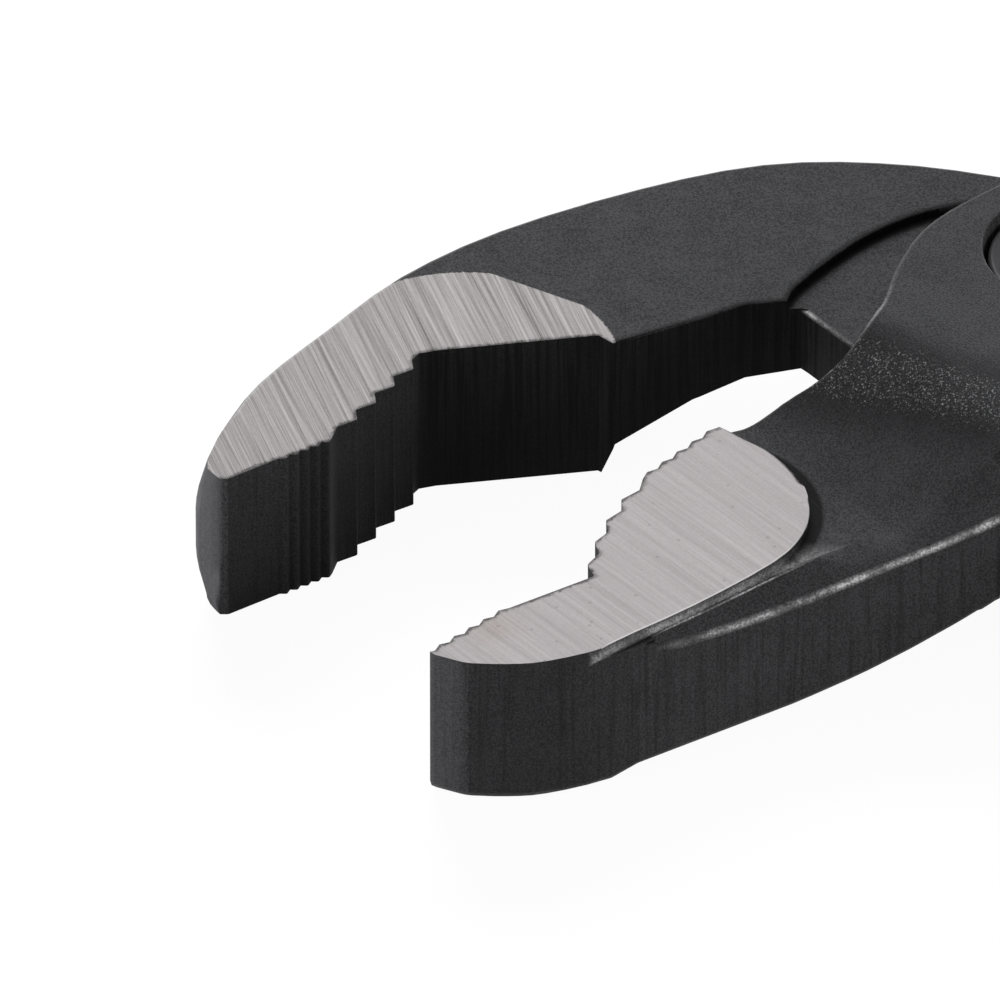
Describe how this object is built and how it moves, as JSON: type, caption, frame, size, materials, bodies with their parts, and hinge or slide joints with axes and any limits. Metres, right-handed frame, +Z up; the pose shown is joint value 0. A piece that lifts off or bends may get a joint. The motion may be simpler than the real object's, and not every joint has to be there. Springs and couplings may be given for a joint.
{
  "type": "water pump pliers",
  "caption": "Water pump pliers with angled toothed jaws, crossed forged levers, a slotted lap joint that steps to wider openings, and slip-on grips.",
  "frame": {"origin": "on the pivot axis with the joint at its smallest setting, in the plane of the jaws' undersides, where the bolt's end face lies", "axes": "+X from the jaws towards the handles, +Z up along the pivot axis from the nut to the bolt head"},
  "size_m": [0.2382, 0.1549, 0.0143],
  "materials": {
    "forged_steel": "matte black phosphate on forged steel, with the jaw faces ground bright",
    "bolt_steel": "dark oiled steel",
    "grip_core": "black moulded plastic, fine grain",
    "grip_pad": "grey soft thermoplastic, matte"
  },
  "bodies": {
    "upper_lever": {"upper_jaw_lever": "forged_steel", "upper_lever_grip": "grip_core", "upper_lever_grip_pad": "grip_pad"},
    "joint_carriage": {"joint_washer": "bolt_steel"},
    "lower_lever": {"lower_jaw_lever": "forged_steel", "pivot_bolt": "bolt_steel", "pivot_nut": "bolt_steel", "lower_lever_grip": "grip_core", "lower_lever_grip_pad": "grip_pad"}
  },
  "joints": [
    {"name": "slot_adjustment", "type": "slide", "parent": "upper_lever", "child": "joint_carriage", "axis": [0.6293, -0.7771, 0], "range_m": [0, 0.023]},
    {"name": "jaw_pivot", "type": "hinge", "parent": "joint_carriage", "child": "lower_lever", "pos_m": [0, 0, 0], "axis": [0, 0, 1], "range_deg": [-22, 15]}
  ]
}
